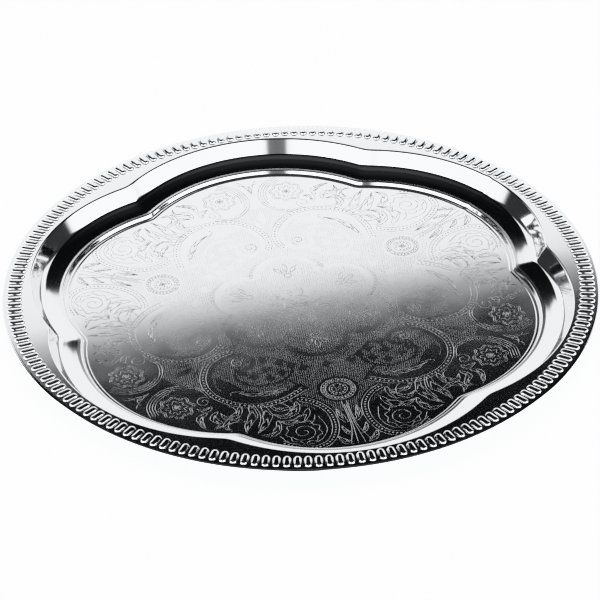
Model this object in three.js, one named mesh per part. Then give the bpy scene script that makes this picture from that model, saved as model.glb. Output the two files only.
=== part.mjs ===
// A round pressed-metal plate with a six-lobed well, a flat rim, a ring of gadroon beads
// and an edge curled round a stiffening wire. Millimetres, +Z up. The origin is the middle
// of the underside of the well's floor, and the middle of one lobe points along -Y.
import * as THREE from 'three';

// Whole plate
const PLATE_RADIUS = 177.5;    // a 14 inch plate, measured over its curled edge
const SHEET = 0.6;             // thickness of the plated steel sheet
const RIM_RISE = 14.2;         // from the floor's upper face to the rim's upper face
const RING_STEPS = 72;         // facets round the plate: whole steps fit each lobe

// Well: each lobe is turned about its own upright axis, set out from the plate's middle
const LOBE_COUNT = 6;
const LOBE_AXIS_OUT = 54.3;    // from the plate's axis to a lobe's axis

// Corners of the wall's profile: distance from the lobe's axis, height above the floor, and the
// radius that rounds the corner. The floor ends at a small step up to a plain border, a steep
// riser leads to a wide hollow shelf, and that turns up into the wall and over into the rim.
const WALL_CORNERS = [
  { rho: 86.9, height: 0, radius: 0.35 },
  { rho: 87.3, height: 0.35, radius: 0.65 },
  { rho: 89.2, height: 0.35, radius: 0.5 },
  { rho: 90.2, height: 2.55, radius: 0.9 },
  { rho: 92.6, height: 2.6, radius: 8 },
  { rho: 97, height: 3.1, radius: 40 },
  { rho: 102.9, height: 4.2, radius: 5 },
  { rho: 108.7, height: RIM_RISE, radius: 1.2 },
];
const ARC_STEP = THREE.MathUtils.degToRad(35);

// Gadroon beads, pressed up out of the sheet
const BEAD_COUNT = 180;
const BEAD_INNER = 165.1;
const BEAD_OUTER = 174.8;
const BEAD_HEIGHT = 1.2;

// Curled edge and the wire in it
const CURL_RADIUS = 1.4;
const CURL_SWEEP = THREE.MathUtils.degToRad(250);
const CURL_STEPS = 6;
const WIRE_RADIUS = 0.5;
const WIRE_SIDES = 6;

const LOBE_SPAN = (2 * Math.PI) / LOBE_COUNT;
const RIM_Z = SHEET + RIM_RISE;
const CURL_CENTRE_R = PLATE_RADIUS - CURL_RADIUS;
const CURL_CENTRE_Z = RIM_Z - CURL_RADIUS;

// Distance from the plate's axis to the lobed outline that lies rho from the lobe's own axis.
// The lobes meet in ridges at 0, 60, 120... degrees.
function lobedRadius(rho, angle) {
  const fromLobeMiddle = (angle % LOBE_SPAN) - LOBE_SPAN / 2;
  const along = LOBE_AXIS_OUT * Math.cos(fromLobeMiddle);
  const across = LOBE_AXIS_OUT * Math.sin(fromLobeMiddle);
  return along + Math.sqrt(rho * rho - across * across);
}

// A ring of points round the plate. radius and height are functions of the angle and the index.
function ring(count, radius, height) {
  const points = [];
  for (let i = 0; i < count; i += 1) {
    const angle = (i * 2 * Math.PI) / count;
    const r = radius(angle, i);
    points.push(new THREE.Vector3(r * Math.cos(angle), r * Math.sin(angle), height(angle, i)));
  }
  return points;
}

function lobedRing(rho, z) {
  return ring(RING_STEPS, (angle) => lobedRadius(rho, angle), () => z);
}

function roundRing(radius, z, count = RING_STEPS) {
  return ring(count, () => radius, () => z);
}

// One rounded corner of the profile as points, between lines of the slopes before and after.
// A hollow corner turns about a centre above the sheet, so it is wider by depth on the underside,
// and a full corner turns about one below it and is tighter by depth.
function cornerPoints(corner, before, after, depth) {
  const side = Math.sign(after - before);
  const reach = corner.radius * Math.tan(Math.abs(after - before) / 2);
  const centreRho = corner.rho - reach * Math.cos(before) - side * corner.radius * Math.sin(before);
  const startZ = SHEET + corner.height - reach * Math.sin(before);
  const centreZ = startZ + side * corner.radius * Math.cos(before);
  const radius = corner.radius + side * depth;
  const steps = Math.ceil(Math.abs(after - before) / ARC_STEP);
  const points = [];
  for (let k = 0; k <= steps; k += 1) {
    const slope = before + ((after - before) * k) / steps;
    const rho = centreRho + side * radius * Math.sin(slope);
    points.push({ rho, z: centreZ - side * radius * Math.cos(slope) });
  }
  return points;
}

// Slope of the line from one corner up to the next. It is level before the first and after the
// last.
function slopeAfter(index) {
  const from = WALL_CORNERS[index];
  const to = WALL_CORNERS[index + 1];
  return from && to ? Math.atan2(to.height - from.height, to.rho - from.rho) : 0;
}

// The floor and wall from the middle outwards. depth is 0 on the upper face and the sheet's
// thickness on the underside, and it is kept square to the surface.
function wellRings(depth) {
  const rings = [[new THREE.Vector3(0, 0, SHEET - depth)]];
  WALL_CORNERS.forEach((corner, index) => {
    const points = cornerPoints(corner, slopeAfter(index - 1), slopeAfter(index), depth);
    points.forEach(({ rho, z }) => rings.push(lobedRing(rho, z)));
  });
  return rings;
}

// The beads from their inner to their outer ends: each is one raised point between two hollows.
function beadRings(depth) {
  const count = 2 * BEAD_COUNT;
  const z = RIM_Z - depth;
  const middle = (BEAD_INNER + BEAD_OUTER) / 2;
  return [
    roundRing(BEAD_INNER, z, count),
    ring(count, () => middle, (angle, i) => z + (i % 2) * BEAD_HEIGHT),
    roundRing(BEAD_OUTER, z, count),
  ];
}

// One face of the curl, from the rim outwards, down and back under.
function curlRings(depth) {
  const radius = CURL_RADIUS - depth;
  const rings = [];
  for (let k = 0; k <= CURL_STEPS; k += 1) {
    const turned = (CURL_SWEEP * k) / CURL_STEPS;
    const r = CURL_CENTRE_R + radius * Math.sin(turned);
    rings.push(roundRing(r, CURL_CENTRE_Z + radius * Math.cos(turned)));
  }
  return rings;
}

// Triangles between two neighbouring rings. One ring may have several times as many points as
// the other, or be a single point, and then each point of the shorter one takes a fan.
function joinRings(inner, outer, corners) {
  const few = inner.length <= outer.length ? inner : outer;
  const many = few === inner ? outer : inner;
  const perStep = many.length / few.length;
  const add = (a, b, c) => corners.push(...(few === inner ? [a, b, c] : [a, c, b]));
  for (let i = 0; i < few.length; i += 1) {
    const next = few[(i + 1) % few.length];
    for (let j = 0; j < perStep; j += 1) {
      const at = i * perStep + j;
      add(few[i], many[at], many[(at + 1) % many.length]);
    }
    if (few.length > 1) {
      add(few[i], many[((i + 1) * perStep) % many.length], next);
    }
  }
}

function closedSurface(rings) {
  const corners = [];
  for (let k = 0; k + 1 < rings.length; k += 1) {
    joinRings(rings[k], rings[k + 1], corners);
  }
  return new THREE.BufferGeometry().setFromPoints(corners);
}

function platedSteel(roughness) {
  return new THREE.MeshStandardMaterial({ color: 0xd9dbde, roughness, metalness: 1 });
}

// The one pressed sheet: upper face from the middle out to the end of the curl, and back
// along the underside to the middle.
function trayPressing() {
  const upper = [...wellRings(0), ...beadRings(0), ...curlRings(0)];
  const under = [...wellRings(SHEET), ...beadRings(SHEET), ...curlRings(SHEET)];
  const mesh = new THREE.Mesh(closedSurface([...upper, ...under.reverse()]), platedSteel(0.08));
  mesh.name = 'tray_pressing';
  return mesh;
}

// The wire is a ring inside the curl, clear of the sheet all round.
function edgeWire() {
  const shape = new THREE.TorusGeometry(CURL_CENTRE_R, WIRE_RADIUS, WIRE_SIDES, RING_STEPS);
  const steel = new THREE.MeshStandardMaterial({ color: 0x8a8a88, roughness: 0.4, metalness: 1 });
  const mesh = new THREE.Mesh(shape, steel);
  mesh.position.z = CURL_CENTRE_Z;
  mesh.name = 'edge_wire';
  return mesh;
}

const group = new THREE.Group();
group.add(trayPressing(), edgeWire());

export default group;
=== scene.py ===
"""A chrome-plated pressed plate: six-lobed well, ornamented floor, gadroon beads and curled edge."""
import math

import bpy
import numpy as np
from mathutils import Matrix, Vector


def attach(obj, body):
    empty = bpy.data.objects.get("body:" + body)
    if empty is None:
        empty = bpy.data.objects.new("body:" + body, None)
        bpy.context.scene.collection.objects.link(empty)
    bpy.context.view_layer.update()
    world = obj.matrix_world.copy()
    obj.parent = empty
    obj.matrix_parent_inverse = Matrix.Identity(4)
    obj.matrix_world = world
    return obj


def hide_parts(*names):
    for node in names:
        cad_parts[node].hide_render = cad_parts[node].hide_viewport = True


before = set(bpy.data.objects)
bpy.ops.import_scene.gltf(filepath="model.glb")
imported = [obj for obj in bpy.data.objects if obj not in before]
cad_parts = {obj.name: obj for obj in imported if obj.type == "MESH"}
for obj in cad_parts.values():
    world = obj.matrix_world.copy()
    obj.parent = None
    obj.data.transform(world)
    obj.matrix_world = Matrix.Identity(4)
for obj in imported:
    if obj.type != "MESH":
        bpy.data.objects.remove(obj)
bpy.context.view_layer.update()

# ---------------------------------------------------------------- sizes, in metres
MM = 0.001
PLATE_RADIUS = 177.5 * MM
SHEET = 0.6 * MM
RIM_RISE = 14.2 * MM          # floor's upper face to the rim's upper face
RIM_Z = SHEET + RIM_RISE
LOBES = 6
LOBE_AXIS_OUT = 54.3 * MM
FLOOR_RADIUS = 86.9 * MM      # about a lobe's own axis, like the first column below
# Corners of the wall's profile: distance from the lobe's axis, height above the floor, rounding.
WALL_CORNERS = MM * np.array([
    (86.9, 0.0, 0.35),        # the floor ends at a small step up to a plain border
    (87.3, 0.35, 0.65),
    (89.2, 0.35, 0.5),        # a steep riser
    (90.2, 2.55, 0.9),
    (92.6, 2.6, 8.0),         # a wide hollow shelf
    (97.0, 3.1, 40.0),
    (102.9, 4.2, 5.0),        # it turns up into the steep wall
    (108.7, 14.2, 1.2),       # and the brow turns level into the rim
])
SUPPORT = 0.06 * MM            # a point this far beyond each arc keeps its shading off the flat
RIDGE_ROUNDING = 0.8 * MM      # how round the ridges between lobes are
BEADS = 180
BEAD_INNER = 165.3 * MM
BEAD_OUTER = 174.6 * MM
BEAD_HALF_WIDTH = 2.15 * MM
BEAD_RISE = 1.2 * MM
BEAD_FLANK = 1.05 * MM         # width of the rounded side, from the foot in to the flat top
BEAD_INSETS = MM * np.array([-0.35, -0.1, 0.02, 0.12, 0.35, 0.7, 1.25, 1.8])
BEAD_SIDES = 16
HOLLOW_RISE = 0.5 * MM         # of the sheet's underside below a bead
CURL_RADIUS = 1.4 * MM
CURL_SWEEP = math.radians(250)

WELL_STEPS = 80 * LOBES        # facets round the well, gathered towards the ridges
BEAD_STEPS = 8                 # facets under each bead, on the underside


# ---------------------------------------------------------------- meshes
def grid_faces(first, count_a, second, count_b):
    """Faces between two rings of points, as (quads, triangles) of point numbers.

    Rings of equal length give quads. Otherwise one ring has a whole number of times as many
    points as the other, or is one point, and each point of the shorter takes a fan.
    """
    few, many = min(count_a, count_b), max(count_a, count_b)
    low, high = (first, second) if count_a <= count_b else (second, first)
    i = np.arange(few)
    if few == many:
        j = (i + 1) % few
        return np.stack([first + i, second + i, second + j, first + j], 1), np.empty((0, 3), int)
    per = many // few
    fan = np.arange(many)
    fans = np.stack([low + fan // per, high + fan, high + (fan + 1) % many], 1)
    if few > 1:
        bridges = np.stack([low + i, high + ((i + 1) * per) % many, low + (i + 1) % few], 1)
        fans = np.concatenate([fans, bridges])
    if count_a > count_b:
        fans = fans[:, ::-1]
    return np.empty((0, 4), int), fans


def joined_faces(counts):
    """(quads, triangles) of a skin over rings of so many points, each joined to the next."""
    starts = np.concatenate([[0], np.cumsum(counts)])
    found = [
        grid_faces(starts[k], counts[k], starts[k + 1], counts[k + 1])
        for k in range(len(counts) - 1)
    ]
    return np.concatenate([q for q, _ in found]), np.concatenate([t for _, t in found])


def new_mesh(name, points, quads, triangles):
    """A smooth mesh object at the origin from whole arrays of points, four-sided and three-sided
    faces."""
    mesh = bpy.data.meshes.new(name)
    corners = np.concatenate([quads.ravel(), triangles.ravel()]).astype(np.int32)
    sizes = np.concatenate([np.full(len(quads), 4), np.full(len(triangles), 3)])
    starts = np.concatenate([[0], np.cumsum(sizes)[:-1]])
    mesh.vertices.add(len(points))
    mesh.vertices.foreach_set("co", points.astype(np.float32).ravel())
    mesh.loops.add(len(corners))
    mesh.loops.foreach_set("vertex_index", corners)
    mesh.polygons.add(len(sizes))
    mesh.polygons.foreach_set("loop_start", starts.astype(np.int32))
    mesh.polygons.foreach_set("loop_total", sizes.astype(np.int32))
    mesh.polygons.foreach_set("use_smooth", np.full(len(sizes), True))
    mesh.update(calc_edges=True)
    mesh.validate()
    piece = bpy.data.objects.new(name, mesh)
    bpy.context.scene.collection.objects.link(piece)
    return piece


def repeated_mesh(name, places, quads, triangles):
    """Many like shapes in one mesh. places holds the points of each, shape after shape, and the
    faces are those of one."""
    step = np.arange(len(places))[:, None, None] * places.shape[1]
    quads, triangles = (quads + step).reshape(-1, 4), (triangles + step).reshape(-1, 3)
    return new_mesh(name, places.reshape(-1, 3), quads, triangles)


# ---------------------------------------------------------------- the pressing
def well_angles(count):
    """Angles round the plate, with the steps drawn together towards the ridges between lobes:
    an even step u in -1..1 across each lobe becomes u + 0.8 sin(pi u) / pi."""
    u = 2 * np.arange(count // LOBES) / (count // LOBES) - 1
    across = (u + 0.8 * np.sin(np.pi * u) / np.pi) * np.pi / LOBES
    middles = (np.arange(LOBES) + 0.5) * 2 * np.pi / LOBES
    return (middles[:, None] + across[None, :]).ravel()


def lobed_radius(rho, angle):
    """Distance from the plate's axis to the outline that lies rho from the lobes' own axes.

    Each lobe's circle gives d cos a + sqrt(rho^2 - d^2 sin^2 a), and the outline is the larger
    of the two nearest, rounded where they cross.
    """
    span = 2 * np.pi / LOBES
    a = (angle % span) - span / 2
    other = a - np.sign(a) * span
    own = LOBE_AXIS_OUT * np.cos(a) + np.sqrt(rho**2 - (LOBE_AXIS_OUT * np.sin(a)) ** 2)
    reach = np.sqrt(np.maximum(rho**2 - (LOBE_AXIS_OUT * np.sin(other)) ** 2, 0))
    next_one = LOBE_AXIS_OUT * np.cos(other) + reach
    gap = (own - next_one) / RIDGE_ROUNDING
    return own + RIDGE_ROUNDING * np.log1p(np.exp(-np.abs(gap)))


def ring(radius, z, angle):
    radius, z = np.broadcast_to(radius, angle.shape), np.broadcast_to(z, angle.shape)
    return np.stack([radius * np.cos(angle), radius * np.sin(angle), z], 1)


def even_angles(count):
    return np.arange(count) * 2 * np.pi / count


def wall_profile(depth, fineness):
    """(rho, z) from the floor's edge up to the rim, for the face that lies depth under the upper
    one: straight lines between WALL_CORNERS, each corner an arc that both lines touch.

    A hollow corner's arc turns about a centre above the sheet, so it is wider by depth on the
    underside. A full corner's turns about one below, and is tighter by it.
    """
    at = WALL_CORNERS[:, :2] + (0, SHEET)
    steps = np.diff(at, axis=0)
    slopes = np.concatenate([[0], np.arctan2(steps[:, 1], steps[:, 0]), [0]])
    rows = []
    for corner, rounding, before, after in zip(at, WALL_CORNERS[:, 2], slopes[:-1], slopes[1:]):
        side = 1 if after > before else -1
        reach = rounding * math.tan(abs(after - before) / 2)
        back = corner - reach * np.array([math.cos(before), math.sin(before)])
        centre = back + side * rounding * np.array([-math.sin(before), math.cos(before)])
        count = 1 + fineness * math.ceil(abs(after - before) / math.radians(15))
        slope = np.linspace(before, after, count)
        radius = rounding + side * depth
        points = centre + side * radius * np.stack([np.sin(slope), -np.cos(slope)], 1)
        # a point close by on each line keeps the arc's shading off the flat
        before, after = (SUPPORT * np.array([math.cos(a), math.sin(a)]) for a in (before, after))
        rows += [points[:1] - before, points, points[-1:] + after]
    return np.concatenate(rows)


def well_rings(depth, fineness, count):
    """The middle, the floor and the wall's profile, each a ring of the lobed outline. depth is 0
    on the upper face and the sheet's thickness below."""
    angle = well_angles(count)
    rings = [np.array([[0, 0, SHEET - depth]])]
    edge = lobed_radius(FLOOR_RADIUS, angle)
    for share in (0.25, 0.5, 0.75, 0.95, 0.995):
        rings.append(ring(edge * share, SHEET - depth, angle))
    for rho, z in wall_profile(depth, fineness):
        rings.append(ring(lobed_radius(rho, angle), z, angle))
    return rings


def curl_rings(depth, steps, count):
    """The edge rolled out, down and back under: an arc of the curl's radius less depth."""
    angle = even_angles(count)
    radius = CURL_RADIUS - depth
    turned = np.linspace(0, CURL_SWEEP, steps + 1)
    return [
        ring(
            PLATE_RADIUS - CURL_RADIUS + radius * math.sin(t),
            RIM_Z - CURL_RADIUS + radius * math.cos(t),
            angle,
        )
        for t in turned
    ]


def hollow_rings():
    """Under each bead the sheet is pushed up into a hollow: its rise times sin(pi t) to the power
    0.7 along the bead, times a raised cosine across it."""
    angle = even_angles(BEADS * BEAD_STEPS)
    across = 0.5 - 0.5 * np.cos(angle * BEADS)
    rings = []
    for t in np.linspace(0, 1, 8):
        lift = HOLLOW_RISE * math.sin(math.pi * t) ** 0.7 * across
        radius = BEAD_INNER + (BEAD_OUTER - BEAD_INNER) * t
        rings.append(ring(radius, RIM_Z - SHEET + lift, angle))
    return rings


def make_pressing():
    """One sheet: upper face from the middle to the end of the curl, and back along its underside."""
    rim_angle = even_angles(WELL_STEPS)
    upper = well_rings(0, 2, WELL_STEPS)
    upper += [ring(r, RIM_Z, rim_angle) for r in (BEAD_INNER, BEAD_OUTER + 0.6 * MM)]
    upper += [ring(PLATE_RADIUS - CURL_RADIUS - SUPPORT, RIM_Z, rim_angle)]
    upper += curl_rings(0, 20, WELL_STEPS)
    under = well_rings(SHEET, 1, WELL_STEPS // 2) + hollow_rings()
    under += curl_rings(SHEET, 12, WELL_STEPS // 2)
    rings = upper + under[::-1]
    faces = joined_faces([len(points) for points in rings])
    return new_mesh("tray_body", np.concatenate(rings), *faces)


# ---------------------------------------------------------------- gadroon beads
def make_beads():
    """Each bead is a long dome with a round outline: rings of a stadium shape, whose height is a
    quarter ellipse from the steep foot to the flat top."""
    around = even_angles(BEAD_SIDES) + np.pi / BEAD_SIDES
    straight = (BEAD_OUTER - BEAD_INNER) / 2 - BEAD_HALF_WIDTH
    left = 1 - np.minimum(BEAD_INSETS[2:] / BEAD_FLANK, 1)
    heights = [-0.06 * MM, 0.02 * MM, *(BEAD_RISE * np.sqrt(1 - left**2))]
    levels = []
    for inset, height in zip(BEAD_INSETS, heights):
        radius = BEAD_HALF_WIDTH - inset
        x = radius * np.cos(around) + straight * np.sign(np.cos(around))
        levels.append(np.stack([x, radius * np.sin(around), np.full(BEAD_SIDES, height)], 1))
    one = np.concatenate(levels + [[[0, 0, BEAD_RISE]]])
    one = one + ((BEAD_INNER + BEAD_OUTER) / 2, 0, RIM_Z)
    quads, triangles = joined_faces([BEAD_SIDES] * len(levels) + [1])
    i = np.arange(1, BEAD_SIDES - 1)
    base = np.stack([0 * i, i + 1, i], 1)
    triangles = np.concatenate([triangles[:, ::-1], base])
    angle = (np.arange(BEADS) + 0.5) * 2 * np.pi / BEADS
    c, s = np.cos(angle)[:, None], np.sin(angle)[:, None]
    x, y, z = one.T
    places = np.stack([c * x - s * y, s * x + c * y, np.broadcast_to(z, (BEADS, len(one)))], 2)
    return repeated_mesh("gadroon_beads", places, quads[:, ::-1], triangles)


# ---------------------------------------------------------------- floor ornament
# Places are shares of the plate's radius, sizes are metres. The pattern is drawn in the sixth of
# the floor from -90 to -30 degrees, mirrored across -Y, and turned by thirds of a turn.
LINE_HALF = 0.30 * MM          # half width of a line, at its foot below the floor's face
LINE_RISE = 0.12 * MM
FOOT_SUNK = 0.08 * MM
DOT_RADIUS = 0.68 * MM
POINT_STEP = 0.011             # distance between points of a curve
HATCH_PITCH = 1.05 * MM
HATCH_DASH = 1.5 * MM
HATCH_HALF = 0.30 * MM
HATCH_RISE = 0.05 * MM
HATCH_SUNK = 0.05 * MM
HATCH_TURN = math.radians(70)
HATCH_REACH = 0.61             # beyond this share of the radius the ground is plain everywhere


def even_points(line, step=POINT_STEP):
    """The line resampled at even distances along its length."""
    line = np.asarray(line, float)
    length = np.concatenate([[0], np.cumsum(np.hypot(*np.diff(line, axis=0).T))])
    at = np.linspace(0, length[-1], max(2, 1 + round(length[-1] / step)))
    return np.stack([np.interp(at, length, line[:, k]) for k in (0, 1)], 1)


def curve(*points, step=POINT_STEP):
    """A Catmull-Rom curve through a few points, at even distances."""
    p = np.array(points, float)
    p = np.concatenate([[2 * p[0] - p[1]], p, [2 * p[-1] - p[-2]]])
    t = np.linspace(0, 1, 16, endpoint=False)[:, None]
    parts = [
        0.5 * (2 * b + (c - a) * t + (2 * a - 5 * b + 4 * c - d) * t**2 + (3 * (b - c) + d - a) * t**3)
        for a, b, c, d in zip(p[:-3], p[1:-2], p[2:-1], p[3:])
    ]
    return even_points(np.concatenate(parts + [p[-2:-1]]), step)


def arc(centre, radius, start, stop, step=POINT_STEP, end_radius=None):
    """An arc between two angles in degrees, or a spiral when it ends at another radius."""
    a = np.radians(np.linspace(start, stop, 90))
    r = np.linspace(radius, radius if end_radius is None else end_radius, 90)
    return even_points(np.stack([centre[0] + r * np.cos(a), centre[1] + r * np.sin(a)], 1), step)


def leftwards(line):
    """The unit vector to the left of the line's run, at each of its points."""
    run = np.gradient(line, axis=0)
    run /= np.hypot(*run.T)[:, None] + 1e-12
    return np.stack([-run[:, 1], run[:, 0]], 1)


def beside(line, distance):
    """The line moved sideways, to its left when the distance is positive."""
    return line + distance * leftwards(line)


def turned(points, degrees, centre=(0, 0)):
    """Points turned about a centre."""
    c, s = math.cos(math.radians(degrees)), math.sin(math.radians(degrees))
    return (np.asarray(points) - centre) @ np.array([[c, s], [-s, c]]) + centre


def round_about(lines, count, centre=(0, 0)):
    """The lines repeated count times round a centre."""
    return [turned(line, 360 * k / count, centre) for k in range(count) for line in lines]


def all_sixths(lines):
    """The lines with their mirror images across -Y, in all three thirds of the floor."""
    both = list(lines) + [line * (-1, 1) for line in lines]
    return round_about(both, 3)


def star(centre, inner, outer, points):
    """A closed wavy outline: radius between inner and outer as a cosine with so many crests."""
    a = np.linspace(0, 2 * np.pi, 24 * points + 1)
    r = (inner + outer) / 2 + (outer - inner) / 2 * np.cos(points * a)
    line = np.stack([centre[0] + r * np.cos(a), centre[1] + r * np.sin(a)], 1)
    return even_points(line, 0.006)


def petals(centre, start, stop, count, bulge=0.3, turn=0.0):
    """Leaf outlines round a centre, each two bowed lines between the start and stop radii."""
    long = stop - start
    side = [
        curve((start, 0), (start + 0.5 * long, sign * bulge * long), (stop, 0), step=0.006)
        for sign in (1, -1)
    ]
    moved = [turned(line, turn) + centre for line in side]
    return round_about(moved, count, centre)


def leaf(*spine, width, veins=3):
    """An acanthus leaf along a curved spine: its two edges, notched towards the tip, and
    short veins from the spine outwards."""
    middle = curve(*spine)
    share = np.linspace(0, 1, len(middle))
    swell = width * np.sin(np.pi * share**0.8) * (1 + 0.16 * np.sin(share * 6 * np.pi))
    edges = [middle + leftwards(middle) * (sign * swell)[:, None] for sign in (1, -1)]
    ribs = []
    for share in np.linspace(0.25, 0.75, veins):
        k = int(share * (len(middle) - 1))
        ahead = min(k + 3, len(middle) - 1)
        for edge in edges:
            ribs.append(even_points([middle[k], 0.8 * edge[ahead] + 0.2 * middle[ahead]]))
    return edges + ribs


PAISLEY = curve(
    (0.262, -0.300), (0.235, -0.285), (0.232, -0.250), (0.265, -0.222), (0.310, -0.222),
    (0.360, -0.255), (0.392, -0.320), (0.388, -0.390), (0.345, -0.450), (0.270, -0.485),
    (0.190, -0.475), (0.115, -0.435),
)
PAISLEY_BELLY = curve(
    (0.262, -0.300), (0.300, -0.310), (0.305, -0.360), (0.270, -0.395), (0.210, -0.402),
    (0.155, -0.395), (0.115, -0.435),
)
SCROLL = curve(
    (0.140, -0.505), (0.100, -0.530), (0.065, -0.580), (0.055, -0.640), (0.065, -0.700),
    (0.095, -0.750), (0.145, -0.770), (0.200, -0.755), (0.250, -0.715),
)
SCALLOP = np.array([0.0, -0.18])
ROSETTE = np.array([0.0, -0.487])
STAR = np.array([0.530, -0.445])
ROSE = np.array([0.165, -0.680])
DIAPER = (
    (0.150, -0.295), (0.200, -0.270), (0.115, -0.320), (0.205, -0.320), (0.280, -0.322),
    (0.155, -0.350), (0.250, -0.350), (0.200, -0.372), (0.080, -0.345), (0.0, -0.342),
)
OVAL_SPOTS = arc((0, 0), 1.0, 0, 360, step=0.16) * (0.094, 0.074) + (0.212, -0.332)
CRESCENT = curve(
    (0.372, -0.320), (0.350, -0.345), (0.318, -0.375), (0.300, -0.420), (0.340, -0.420),
    (0.378, -0.375), (0.372, -0.320),
)
SPEAR = curve((0.415, -0.230), (0.455, -0.255), (0.500, -0.287), (0.455, -0.278), (0.415, -0.230))
BARB = curve((0.405, -0.252), (0.432, -0.275), (0.440, -0.318), (0.428, -0.288), (0.405, -0.252))


def medallion_lines():
    """A fan of short strokes outside each of the six scallops, a palmette inside it, and the
    petalled rosette in the middle."""
    strokes = []
    for degrees in np.arange(-172, -7, 4.0):
        way = np.array([math.cos(math.radians(degrees)), math.sin(math.radians(degrees))])
        strokes.append(SCALLOP + np.array([0.119, 0.134])[:, None] * way)
    for degrees, reach in ((-90, 0.072), (-52, 0.064), (-128, 0.064)):
        strokes += petals(SCALLOP, 0.020, reach, 1, 0.17, degrees)
    strokes.append(arc(SCALLOP, 0.013, 0, 360))
    found = round_about(strokes, 6)
    found += petals((0, 0), 0.012, 0.048, 8, 0.26) + petals((0, 0), 0.062, 0.098, 12, 0.2, 15)
    return found + [arc((0, 0), r, 0, 360) for r in (0.010, 0.055)]


def sixth_lines():
    """Every line of one sixth of the floor outside the medallion."""
    # round the paisley, beyond its plain edge, and the curl and small leaf inside it
    lines = [beside(PAISLEY[12:], d) for d in (0.011, 0.031)]
    lines += [arc((0.283, -0.262), 0.006, 20, 500, end_radius=0.026)]
    lines += [curve((0.300, -0.420), (0.338, -0.412), (0.345, -0.428))]
    lines += leaf((0.160, -0.440), (0.215, -0.448), (0.270, -0.446), (0.320, -0.422), width=0.009)
    # half of the concentric rosette, and the stem below it
    lines += [arc(ROSETTE, r, -90, 90) for r in (0.057, 0.042, 0.030)]
    lines += petals(ROSETTE, 0.0, 0.014, 4, 0.3, 45)
    lines += [curve((0.008, -0.550), (0.008, -0.640), (0.012, -0.700), (0.034, -0.778))]
    lines += [curve((0.003, -0.570), (0.004, -0.680), (0.012, -0.785))]
    lines += leaf((0.014, -0.668), (0.028, -0.640), (0.034, -0.585), width=0.010)
    lines += leaf((0.016, -0.735), (0.034, -0.710), (0.040, -0.680), width=0.007, veins=2)
    lines += leaf((0.024, -0.780), (0.050, -0.762), (0.066, -0.728), width=0.010)
    # the big scroll with its rose, and what grows from it
    lines += [beside(SCROLL, d) for d in (0.011, -0.011)]
    lines += [curve((0.100, -0.610), (0.088, -0.680), (0.120, -0.732), (0.170, -0.745),
                    (0.222, -0.722), (0.245, -0.680))]
    lines += [arc(ROSE, 0.008, 90, 700, end_radius=0.046), star(ROSE, 0.050, 0.060, 9)]
    lines += [curve((0.108, -0.600), (0.120, -0.632), (0.140, -0.645))]
    lines += leaf((0.120, -0.560), (0.140, -0.600), (0.190, -0.620), (0.235, -0.600), width=0.014)
    lines += leaf((0.150, -0.515), (0.160, -0.560), (0.205, -0.585), (0.240, -0.560), width=0.013)
    lines += leaf((0.235, -0.515), (0.222, -0.540), (0.180, -0.545), (0.150, -0.535),
                  width=0.008, veins=2)
    lines += leaf((0.262, -0.500), (0.255, -0.560), (0.275, -0.610), (0.310, -0.650), width=0.014)
    lines += leaf((0.300, -0.495), (0.300, -0.550), (0.330, -0.600), (0.345, -0.640), width=0.014)
    lines += leaf((0.235, -0.600), (0.235, -0.630), (0.262, -0.668), (0.305, -0.660), width=0.011)
    lines += leaf((0.330, -0.490), (0.345, -0.530), (0.385, -0.545), (0.400, -0.510), width=0.012)
    lines += leaf((0.330, -0.575), (0.375, -0.560), (0.400, -0.585), (0.385, -0.615), width=0.011)
    lines += leaf((0.405, -0.500), (0.430, -0.530), (0.410, -0.570), (0.440, -0.590), width=0.010)
    lines += leaf((0.440, -0.500), (0.470, -0.520), (0.470, -0.560), (0.462, -0.585), width=0.010)
    lines += [curve((0.205, -0.505), (0.180, -0.535), (0.178, -0.575)),
              curve((0.285, -0.500), (0.278, -0.560), (0.300, -0.620)),
              curve((0.370, -0.480), (0.350, -0.500), (0.352, -0.540))]
    # star rosette with the hairlines round it
    lines += [star(STAR, r, r + 0.011, 8) for r in (0.043, 0.050)]
    lines += [star(STAR, 0.024, 0.037, 8), arc(STAR, 0.014, 0, 360)]
    hairline = curve((0.410, -0.425), (0.425, -0.375), (0.460, -0.345), (0.520, -0.333),
                     (0.580, -0.358), (0.622, -0.415), (0.622, -0.480))
    lines += [beside(hairline[k:], d) for k, d in ((0, 0.0), (0, -0.009), (14, -0.018), (17, -0.027))]
    lines += [arc((0.438, -0.438), 0.006, 0, 480, end_radius=0.026)]
    lines += leaf((0.418, -0.470), (0.440, -0.485), (0.470, -0.470), width=0.010, veins=2)
    # small leaves beyond the spear on the line between two thirds
    lines += [curve((0.600, -0.346), (0.640, -0.372), (0.672, -0.350), step=0.008)]
    lines += [curve((0.606, -0.350), (0.650, -0.400), (0.655, -0.420), step=0.008)]
    return lines


def inside(points, outline):
    """Whether each point lies inside a closed outline, by counting the edges to its right."""
    a, b = outline, np.roll(outline, -1, axis=0)
    x, y = points[:, 0:1], points[:, 1:2]
    spans = (a[:, 1] > y) != (b[:, 1] > y)
    rise = np.where(b[:, 1] == a[:, 1], 1e-12, b[:, 1] - a[:, 1])
    cross = a[:, 0] + (y - a[:, 1]) * (b[:, 0] - a[:, 0]) / rise
    return (spans & (x < cross)).sum(1) % 2 == 1


def distance_to(points, line):
    """Distance of each point from the nearest point of a line."""
    fine = even_points(line, 0.004)
    apart = points[:, None] - fine[None]
    return np.sqrt((apart**2).sum(2).min(1))


def dotted(line, pitch):
    """Points along a line, without its last, which is the first again on a closed one."""
    return even_points(line, pitch)[:-1]


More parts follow.
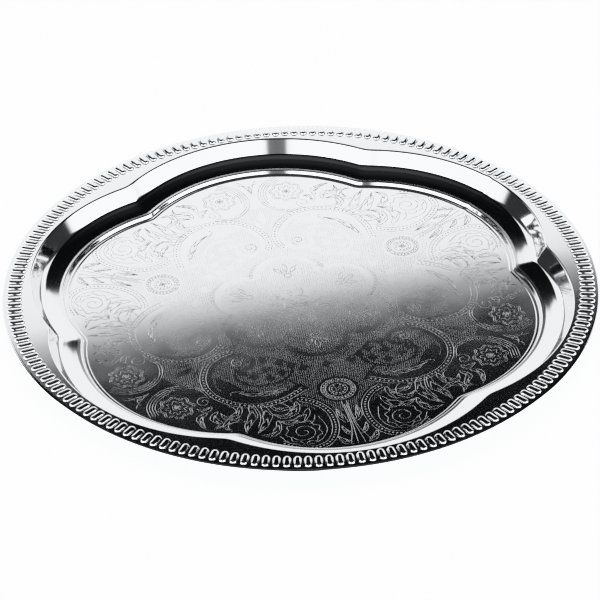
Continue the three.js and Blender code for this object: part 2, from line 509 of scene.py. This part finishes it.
def all_dots():
    """Places of every dot: round the paisleys and the rosettes, along the scrolls, and in the
    middle of the star rosettes."""
    sixth = [dotted(beside(PAISLEY[12:], 0.0210), 0.0150), dotted(SCROLL, 0.0135)]
    sixth += [dotted(arc(ROSETTE, r, -90, 90), 0.0115) for r in (0.0495, 0.022)]
    sixth += [STAR[None]] + round_about([STAR[None] + (0.0065, 0)], 5, STAR)
    return np.unique(np.round(np.concatenate(all_sixths(sixth)), 4), axis=0)


def plain_ground(at):
    """Whether each place in the first sixth is left plain, and so shines black or white: the
    edges of the scallops, paisleys and rosettes, the diaper's stars, the crescent, the spear
    and the stem, and the ground beyond the outline r = 0.555 + 0.05 cos 6a."""
    angle = np.arctan2(at[:, 0], -at[:, 1])
    plain = np.hypot(*at.T) > 0.555 + 0.05 * np.cos(6 * angle)
    near = np.min([np.hypot(*(at - turned(SCALLOP, k)).T) for k in (0, 60)], 0)
    plain |= (near > 0.103) & (near < 0.137)
    spots = round_about([dotted(arc(SCALLOP, 0.099, -174, -6), 0.0155)], 6) + [OVAL_SPOTS]
    plain |= np.sqrt(((at[:, None] - np.concatenate(spots)) ** 2).sum(2)).min(1) < 0.0062
    plain |= np.hypot(*at.T) < 0.055
    plain |= distance_to(at, PAISLEY) < 0.0095
    plain |= distance_to(at, beside(PAISLEY[12:], 0.021)) < 0.012
    plain |= distance_to(at, PAISLEY_BELLY) < 0.004
    from_rosette = np.hypot(*(at - ROSETTE).T)
    plain |= (from_rosette < 0.069) & ((from_rosette > 0.057) | (from_rosette < 0.042))
    for spot in DIAPER:
        # a star with hollow sides: its two reaches to the power 0.7 add up to less than one
        reach = (np.abs(at - spot) / (0.025, 0.026)) ** 0.7
        plain |= reach.sum(1) < 1.0
    for outline in (CRESCENT, SPEAR, BARB):
        plain |= inside(at, outline)
    plain |= np.hypot(*(at - STAR).T) < 0.118
    plain |= distance_to(at, SCROLL) < 0.020
    return plain | (at[:, 0] < 0.010) & (at[:, 1] < -0.55)


def hatch_cells():
    """Start and stop points of short dashes along parallel slanting lines, wherever the ground
    isn't plain. Places are folded into the first sixth to ask."""
    pitch, dash = HATCH_PITCH / PLATE_RADIUS, HATCH_DASH / PLATE_RADIUS
    edge = HATCH_REACH + 0.01
    u, v = np.meshgrid(np.arange(-edge, edge, dash), np.arange(-edge, edge, pitch))
    u = u + dash * (np.arange(len(u)) % 2 * 0.5)[:, None]
    c, s = math.cos(HATCH_TURN), math.sin(HATCH_TURN)
    at = np.stack([u * c - v * s, u * s + v * c], -1).reshape(-1, 2)
    at = at[np.hypot(*at.T) < HATCH_REACH]
    third = 2 * np.pi / 3
    angle = np.arctan2(at[:, 0], -at[:, 1])
    folded = np.abs((angle + third / 2) % third - third / 2)
    sixth = np.hypot(*at.T)[:, None] * np.stack([np.sin(folded), -np.cos(folded)], 1)
    at = at[~plain_ground(sixth)]
    half = 0.46 * dash * np.array([c, s])
    return np.stack([at - half, at + half], 1)


def ridge_points(line, half, rise, sunk):
    """Foot, crown and foot across each point of a line, tapered at both ends."""
    taper = np.ones(len(line))
    taper[[0, -1]] = 0.45
    across = leftwards(line) * (half * taper)[:, None]
    low = np.full((len(line), 1), SHEET - sunk)
    high = np.full((len(line), 1), SHEET + rise)
    rows = [np.hstack([line + across, low]), np.hstack([line, high]), np.hstack([line - across, low])]
    return np.stack(rows, 1)


def ridge_mesh(name, lines, half, rise, sunk):
    """Low ridges of triangular section along lines given as shares of the plate's radius."""
    points, quads, triangles, first = [], [], [], 0
    for line in lines:
        row = ridge_points(line * PLATE_RADIUS, half, rise, sunk).reshape(-1, 3)
        start = first + 3 * np.arange(len(line) - 1)[:, None, None]
        quads.append((start + np.array([[1, 4, 3, 0], [2, 5, 4, 1], [0, 3, 5, 2]])).reshape(-1, 4))
        last = first + len(row) - 3
        triangles.append(np.array([[first, first + 2, first + 1], [last, last + 1, last + 2]]))
        points.append(row)
        first += len(row)
    return new_mesh(name, *(np.concatenate(part) for part in (points, quads, triangles)))


def dome_mesh(name, centres, radius, rise):
    """A low eight-sided dome at each centre: a sunk foot, a shoulder and a crown."""
    a = even_angles(8)
    levels = ((radius, -FOOT_SUNK), (0.6 * radius, 0.72 * rise))
    one = np.concatenate([ring(r, SHEET + z, a) for r, z in levels] + [[[0, 0, SHEET + rise]]])
    i, j = np.arange(8), (np.arange(8) + 1) % 8
    quads = np.stack([i, j, 8 + j, 8 + i], 1)
    base = np.stack([np.zeros(6, int), np.arange(2, 8), np.arange(1, 7)], 1)
    triangles = np.concatenate([np.stack([8 + i, 8 + j, np.full(8, 16)], 1), base])
    places = np.hstack([centres * PLATE_RADIUS, np.zeros((len(centres), 1))])
    return repeated_mesh(name, places[:, None] + one, quads, triangles)


def make_ornament():
    """The three relief pieces of the floor: drawn lines, dots, and the hatched ground."""
    lines, dashes = medallion_lines() + all_sixths(sixth_lines()), list(hatch_cells())
    return [
        ridge_mesh("floor_lines", lines, LINE_HALF, LINE_RISE, FOOT_SUNK),
        dome_mesh("floor_dots", all_dots(), DOT_RADIUS, LINE_RISE),
        ridge_mesh("hatched_ground", dashes, HATCH_HALF, HATCH_RISE, HATCH_SUNK),
    ]


# ---------------------------------------------------------------- materials
def linear(hex_colour):
    """An sRGB hex colour as the linear RGBA that the shader takes."""
    parts = [int(hex_colour[i : i + 2], 16) / 255 for i in (1, 3, 5)]
    return [c / 12.92 if c <= 0.04045 else ((c + 0.055) / 1.055) ** 2.4 for c in parts] + [1]


def add(tree, kind, settings=None, **links):
    """Adds a node. settings go to its properties or its inputs' values, links are output sockets
    for its inputs: by name with _ for a space, or by number after an i."""
    made = tree.nodes.new(kind)
    for name, value in (settings or {}).items():
        if isinstance(name, str) and hasattr(made, name):
            setattr(made, name, value)
        else:
            made.inputs[name].default_value = value
    for name, socket in links.items():
        key = int(name[1:]) if name[0] == "i" and name[1:].isdigit() else name.replace("_", " ")
        tree.links.new(socket, made.inputs[key])
    return made


def mottled_material(name, scale, detail, tones):
    """A material whose colour goes between two tones with a noise of the given scale per metre.
    Also returns its nodes, its shader, the noise and the Object coordinates."""
    material = bpy.data.materials.new(name)
    material.use_nodes = True
    tree = material.node_tree
    tree.nodes.clear()
    shader = add(tree, "ShaderNodeBsdfPrincipled")
    add(tree, "ShaderNodeOutputMaterial", Surface=shader.outputs["BSDF"])
    place = add(tree, "ShaderNodeTexCoord").outputs["Object"]
    noise = add(tree, "ShaderNodeTexNoise", {"Scale": scale, "Detail": detail}, Vector=place)
    first, second = (linear(tone) for tone in tones)
    mixing = {"data_type": "RGBA", 6: first, 7: second}
    tone = add(tree, "ShaderNodeMix", mixing, i0=noise.outputs[0])
    tree.links.new(tone.outputs[2], shader.inputs["Base Color"])
    return material, tree, shader, noise.outputs[0], place


def metal(name, scale, detail, tones, rough, spread=(0.0, 1.0)):
    """A mottled metal whose roughness goes between two values over the given part of the noise."""
    material, tree, shader, noise, place = mottled_material(name, scale, detail, tones)
    limits = dict(zip(("From Min", "From Max", "To Min", "To Max"), (*spread, *rough)))
    haze = add(tree, "ShaderNodeMapRange", limits, Value=noise)
    tree.links.new(haze.outputs["Result"], shader.inputs["Roughness"])
    shader.inputs["Metallic"].default_value = 1.0
    return material, tree, shader, place


def bright_chrome():
    """Decorative chrome over polished steel: a cool mirror, with patches of faint haze 30 mm
    across where it has been wiped and a slow waviness that bends long reflections."""
    material, tree, shader, place = metal(
        "bright_chrome_plate", 30.0, 3.0, ("#dcdee0", "#e4e5e6"), (0.055, 0.075), (0.3, 0.7)
    )
    waves = add(tree, "ShaderNodeTexNoise", {"Scale": 9.0, "Detail": 0.0}, Vector=place)
    slight = {"Strength": 0.02, "Distance": 0.0006}
    bump = add(tree, "ShaderNodeBump", slight, Height=waves.outputs[0])
    tree.links.new(bump.outputs["Normal"], shader.inputs["Normal"])
    return material


def tooled_chrome():
    """Chrome over relief that the die left matt: the same metal, with a satin reflection that
    varies with a grain of 1.4 mm."""
    tones, rough = ("#d4d6d8", "#e0e1e2"), (0.13, 0.21)
    return metal("tooled_chrome_plate", 700.0, 2.0, tones, rough, (0.3, 0.7))[0]


def wire_steel():
    """Drawn mild steel wire: grey and fairly dull, with a fine grain of about 1 mm."""
    return metal("drawn_steel_wire", 900.0, 3.0, ("#8b8a87", "#6f6e6b"), (0.35, 0.6))[0]


def white_laminate():
    """The table's white laminate: matt, barely flecked, and lit evenly enough to glow."""
    material, _, shader, _, _ = mottled_material("white_laminate", 300.0, 2.0, ("#f6f6f6", "#fafafa"))
    shader.inputs["Roughness"].default_value = 0.9
    shader.inputs["Specular IOR Level"].default_value = 0.0
    shader.inputs["Emission Color"].default_value = linear("#ffffff")
    shader.inputs["Emission Strength"].default_value = 1.6
    return material


# ---------------------------------------------------------------- camera, light and floor
CAMERA_AZIMUTH = math.radians(-13.745)   # from -Y, to the left
CAMERA_HEIGHT = math.radians(35.412)     # above level
CAMERA_DISTANCE = 2.1185
TILT = math.radians(-1.18)               # about the line of sight


def make_camera():
    """Looks from 2.12 m away at a point near the middle of the floor, 35.4 degrees down and from
    13.7 degrees to the left of the lobe on -Y, level but for a slight tilt of the picture."""
    out, rise = math.cos(CAMERA_HEIGHT), math.sin(CAMERA_HEIGHT)
    back = Vector((math.sin(CAMERA_AZIMUTH) * out, -math.cos(CAMERA_AZIMUTH) * out, rise))
    right = Vector((math.cos(CAMERA_AZIMUTH), math.sin(CAMERA_AZIMUTH), 0))
    up = back.cross(right)
    middle = Vector((0, 0, 0.0021)) - right * 0.00052 + up * 0.00178
    data = bpy.data.cameras.new("camera")
    data.sensor_width = 36
    data.lens = 213.25
    camera = bpy.data.objects.new("camera", data)
    axes = Matrix((right, up, back)).transposed().to_4x4()
    place = Matrix.Translation(middle + back * CAMERA_DISTANCE)
    camera.matrix_world = place @ axes @ Matrix.Rotation(TILT, 4, "Z")
    bpy.context.scene.collection.objects.link(camera)
    bpy.context.scene.camera = camera


LIGHT_TOP = 35.4               # degrees: the white screens reach up to this height

# Strength of the surroundings against the angle from straight behind the plate, in degrees:
# a white back screen, a dark opening at each side, bright side screens, and a gap in front.
SCREENS = [
    (0, 1.4), (48, 1.4), (53, 0.09), (80, 0.09), (87, 2.8), (169, 2.8), (175, 0.3), (180, 0.25),
]
CEILING = (0.028, 0.12)        # just above the screens, and overhead


def make_world():
    """White screens stand round the plate, with a dark ceiling. The back screen's top edge runs
    down a little towards the right: 0.18 x max(y, 0) is added to each direction's height."""
    world = bpy.data.worlds.new("screens_and_ceiling")
    bpy.context.scene.world = world
    world.use_nodes = True
    tree = world.node_tree
    tree.nodes.clear()
    way = add(tree, "ShaderNodeTexCoord").outputs["Generated"]
    turn = {"Rotation": (0, 0, -CAMERA_AZIMUTH)}
    facing = add(tree, "ShaderNodeMapping", turn, Vector=way).outputs["Vector"]
    parts = add(tree, "ShaderNodeSeparateXYZ", Vector=facing)
    x, y, z = (parts.outputs[k] for k in "XYZ")
    kind = "ShaderNodeMath"

    around = add(tree, kind, {"operation": "ARCTAN2"}, i0=x, i1=y).outputs[0]
    away = add(tree, kind, {"operation": "ABSOLUTE"}, i0=around).outputs[0]
    share = add(tree, kind, {"operation": "DIVIDE", 1: math.pi}, i0=away).outputs[0]
    screens = add(tree, "ShaderNodeValToRGB", i0=share)
    stops = screens.color_ramp.elements
    brightest = max(strength for _, strength in SCREENS)
    for angle, _ in SCREENS[1:-1]:
        stops.new(angle / 180)
    for stop, (_, strength) in zip(stops, SCREENS):
        stop.color = [strength / brightest] * 3 + [1]
    scale = {"operation": "MULTIPLY", 1: brightest}
    strength = add(tree, kind, scale, i0=screens.outputs[0]).outputs[0]

    ahead = add(tree, kind, {"operation": "MAXIMUM", 1: 0.0}, i0=y).outputs[0]
    corner = add(tree, kind, {"operation": "MULTIPLY"}, i0=x, i1=ahead).outputs[0]
    lean = add(tree, kind, {"operation": "MULTIPLY", 1: 0.18}, i0=corner).outputs[0]
    height = add(tree, kind, {"operation": "ARCSINE"}, i0=z).outputs[0]
    height = add(tree, kind, {"operation": "ADD"}, i0=height, i1=lean).outputs[0]
    edge, soft = math.radians(LIGHT_TOP), 0.003
    limits = {"interpolation_type": "SMOOTHSTEP", "From Min": edge - soft, "From Max": edge + soft}
    above = add(tree, "ShaderNodeMapRange", limits, Value=height).outputs["Result"]
    limits = {"From Min": 0.7, "From Max": 0.95, "To Min": CEILING[0], "To Max": CEILING[1]}
    ceiling = add(tree, "ShaderNodeMapRange", limits, Value=z).outputs["Result"]
    mixed = add(tree, "ShaderNodeMix", i0=above, i2=strength, i3=ceiling).outputs[0]
    white = {"Color": (1, 1, 1, 1)}
    background = add(tree, "ShaderNodeBackground", white, Strength=mixed)
    add(tree, "ShaderNodeOutputWorld", Surface=background.outputs[0])


def make_table():
    """A wide pale table, lit from above by a lamp that the chrome doesn't mirror."""
    bpy.ops.mesh.primitive_circle_add(vertices=64, radius=6.0, fill_type="NGON", location=(0, 0, 0))
    table = bpy.context.object
    table.name = "table"
    table.data.materials.append(white_laminate())
    lamp = bpy.data.lights.new("overhead_softbox", "AREA")
    lamp.shape = "DISK"
    lamp.size = 3.0
    lamp.energy = 260
    holder = bpy.data.objects.new("overhead_softbox", lamp)
    holder.location = (0, 0, 2.5)
    holder.visible_glossy = False
    holder.visible_camera = False
    bpy.context.scene.collection.objects.link(holder)


# ---------------------------------------------------------------- put together
make_camera()
make_world()
make_table()
bpy.context.scene.view_settings.view_transform = "Khronos PBR Neutral"

chrome, tooled = bright_chrome(), tooled_chrome()
body, beads = make_pressing(), make_beads()
reliefs = make_ornament()
for piece in (body, beads, *reliefs):
    piece.data.materials.append(tooled if piece in reliefs else chrome)
    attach(piece, "root")
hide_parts("tray_pressing")

wire = bpy.data.objects["edge_wire"]
wire.data.materials.clear()
wire.data.materials.append(wire_steel())
